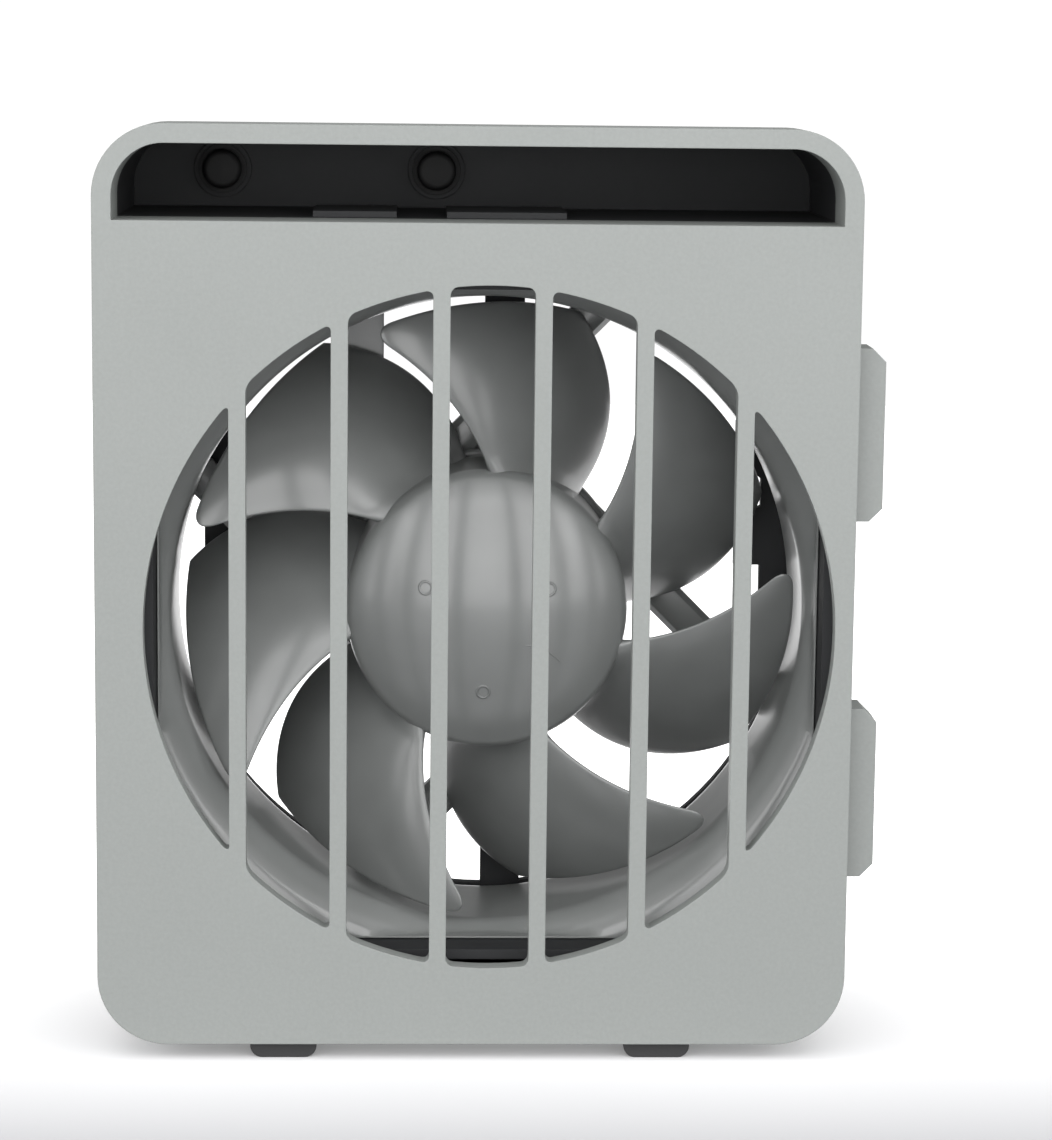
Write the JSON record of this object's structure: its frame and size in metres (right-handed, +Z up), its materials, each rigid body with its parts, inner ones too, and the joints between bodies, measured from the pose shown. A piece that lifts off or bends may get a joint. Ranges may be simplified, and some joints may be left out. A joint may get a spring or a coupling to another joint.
{
  "type": "cooling fan module",
  "caption": "Axial cooling fan in a moulded housing with a barred round intake, a finger slot above it, side hooks, screws and rubber feet.",
  "frame": {"origin": "on the floor under the fan's axis, midway between the front face and the screw tips", "axes": "+X to the right seen from the intake side, +Y back along the airflow, +Z up"},
  "size_m": [0.14, 0.0642, 0.1678],
  "materials": {
    "grey_shell": "fine satin texture",
    "black_carrier": "fine satin texture",
    "frame_plastic": "semi-gloss moulded",
    "impeller_plastic": "semi-gloss moulded",
    "steel": "drawn",
    "ferrite": "sintered",
    "brass": "turned",
    "ground_steel": "ground",
    "spring_steel": "phosphated",
    "bearing_steel": "polished",
    "lamination_steel": "stamped",
    "white_nylon": "moulded",
    "enamelled_copper": "enamelled wire",
    "board": "solder mask",
    "chip": "epoxy",
    "cap_plastic": "blank cap",
    "black_screw": "black oxide",
    "zinc_screw": "zinc plated",
    "pad_rubber": "soft rubber",
    "foot_rubber": "moulded rubber",
    "socket_plastic": "natural nylon",
    "contact_metal": "plated contact"
  },
  "bodies": {
    "housing": {"front_shell": "grey_shell", "rear_carrier": "black_carrier", "fan_frame": "frame_plastic", "bearing_outer_front": "bearing_steel", "bearing_outer_rear": "bearing_steel", "bearing_tube": "brass", "stator_core": "lamination_steel", "insulator_front": "white_nylon", "insulator_rear": "white_nylon", "coils": "enamelled_copper", "circuit_board": "board", "hall_sensor": "chip", "board_parts": "chip", "base_cap": "cap_plastic", "mounting_screws": "black_screw", "lock_washers": "black_screw", "flat_washers": "black_screw", "case_screws": "zinc_screw", "fan_screws": "zinc_screw", "vibration_pads": "pad_rubber", "front_feet": "foot_rubber", "rear_feet": "foot_rubber", "power_socket": "socket_plastic", "socket_pins": "contact_metal"},
    "rotor": {"impeller": "impeller_plastic", "rotor_cup": "steel", "magnet_ring": "ferrite", "shaft_boss": "brass", "shaft": "ground_steel", "retaining_clip": "spring_steel", "preload_spring": "spring_steel", "bearing_inner_front": "bearing_steel", "bearing_inner_rear": "bearing_steel"},
    "front_ball_set": {"bearing_balls_front": "bearing_steel"},
    "rear_ball_set": {"bearing_balls_rear": "bearing_steel"}
  },
  "joints": [
    {"name": "rotor_spin", "type": "hinge", "parent": "housing", "child": "rotor", "pos_m": [0, -0.0021, 0.0787], "axis": [0, -1, 0], "continuous": true},
    {"name": "front_ball_orbit", "type": "hinge", "parent": "housing", "child": "front_ball_set", "pos_m": [0, -0.0021, 0.0787], "axis": [0, -1, 0], "continuous": true},
    {"name": "rear_ball_orbit", "type": "hinge", "parent": "housing", "child": "rear_ball_set", "pos_m": [0, -0.0021, 0.0787], "axis": [0, -1, 0], "continuous": true}
  ],
  "couplings": [
    {"joint": "front_ball_orbit", "follows": "rotor_spin", "ratio": 0.3882},
    {"joint": "rear_ball_orbit", "follows": "rotor_spin", "ratio": 0.3882}
  ]
}
